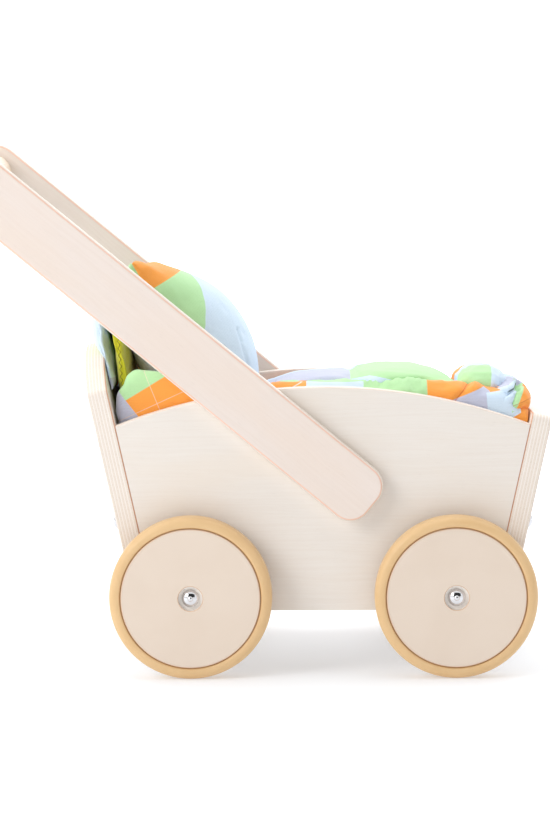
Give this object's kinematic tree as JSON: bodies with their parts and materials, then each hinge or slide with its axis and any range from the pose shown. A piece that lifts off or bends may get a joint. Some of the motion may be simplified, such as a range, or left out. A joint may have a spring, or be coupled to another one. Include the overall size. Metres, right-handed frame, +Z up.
{
  "type": "doll stroller",
  "caption": "Wooden toy doll stroller with a plywood bed, arched side panels, slanted handle arms with a push bar, soft-tyred wheels and loose patchwork bedding.",
  "frame": {"origin": "on the ground under the centre of the bounding box", "axes": "+X towards the foot end (pushing direction), +Y to the left side, +Z up"},
  "size_m": [0.5313, 0.318, 0.461],
  "materials": {
    "birch_plywood": "satin whitewash",
    "solid_wood": "satin",
    "wheel_disc": "satin paint",
    "tyre": "matte",
    "bright_metal": "polished",
    "zinc_steel": "zinc plated",
    "plastic": "matte",
    "lime_cloth": "cotton",
    "patchwork_cloth": "printed cotton"
  },
  "bodies": {
    "bed": {"arm_screws": "zinc_steel", "axle_caps": "bright_metal", "axle_spacers": "plastic", "barrel_nuts": "zinc_steel", "batten_screws": "zinc_steel", "corner_bolts": "bright_metal", "corner_dowels": "solid_wood", "floor_panel": "birch_plywood", "floor_screws": "zinc_steel", "foot_end_panel": "birch_plywood", "front_axle": "zinc_steel", "handle_bar": "solid_wood", "head_end_panel": "birch_plywood", "left_floor_batten": "solid_wood", "left_handle_arm": "birch_plywood", "left_side_panel": "birch_plywood", "rear_axle": "zinc_steel", "right_floor_batten": "solid_wood", "right_handle_arm": "birch_plywood", "right_side_panel": "birch_plywood"},
    "front_right_wheel": {"front_right_disc": "wheel_disc", "front_right_tyre": "tyre"},
    "front_left_wheel": {"front_left_disc": "wheel_disc", "front_left_tyre": "tyre"},
    "rear_right_wheel": {"rear_right_disc": "wheel_disc", "rear_right_tyre": "tyre"},
    "rear_left_wheel": {"rear_left_disc": "wheel_disc", "rear_left_tyre": "tyre"},
    "mattress_body": {"mattress": "lime_cloth"},
    "quilt_body": {"quilt": "patchwork_cloth"},
    "pillow_body": {"pillow": "patchwork_cloth"}
  },
  "joints": [
    {"name": "front_right_wheel_spin", "type": "hinge", "parent": "bed", "child": "front_right_wheel", "pos_m": [0.18074, -0.1453, 0.07], "axis": [0, 1, 0], "continuous": true},
    {"name": "front_left_wheel_spin", "type": "hinge", "parent": "bed", "child": "front_left_wheel", "pos_m": [0.18074, 0.1453, 0.07], "axis": [0, 1, 0], "continuous": true},
    {"name": "rear_right_wheel_spin", "type": "hinge", "parent": "bed", "child": "rear_right_wheel", "pos_m": [-0.04727, -0.1453, 0.07], "axis": [0, 1, 0], "continuous": true},
    {"name": "rear_left_wheel_spin", "type": "hinge", "parent": "bed", "child": "rear_left_wheel", "pos_m": [-0.04727, 0.1453, 0.07], "axis": [0, 1, 0], "continuous": true},
    {"name": "mattress_lift", "type": "slide", "parent": "bed", "child": "mattress_body", "axis": [0, 0, 1], "range_m": [0, 0.2]},
    {"name": "quilt_lift", "type": "slide", "parent": "mattress_body", "child": "quilt_body", "axis": [0, 0, 1], "range_m": [0, 0.2]},
    {"name": "pillow_lift", "type": "slide", "parent": "quilt_body", "child": "pillow_body", "axis": [0, 0, 1], "range_m": [0, 0.2]}
  ]
}
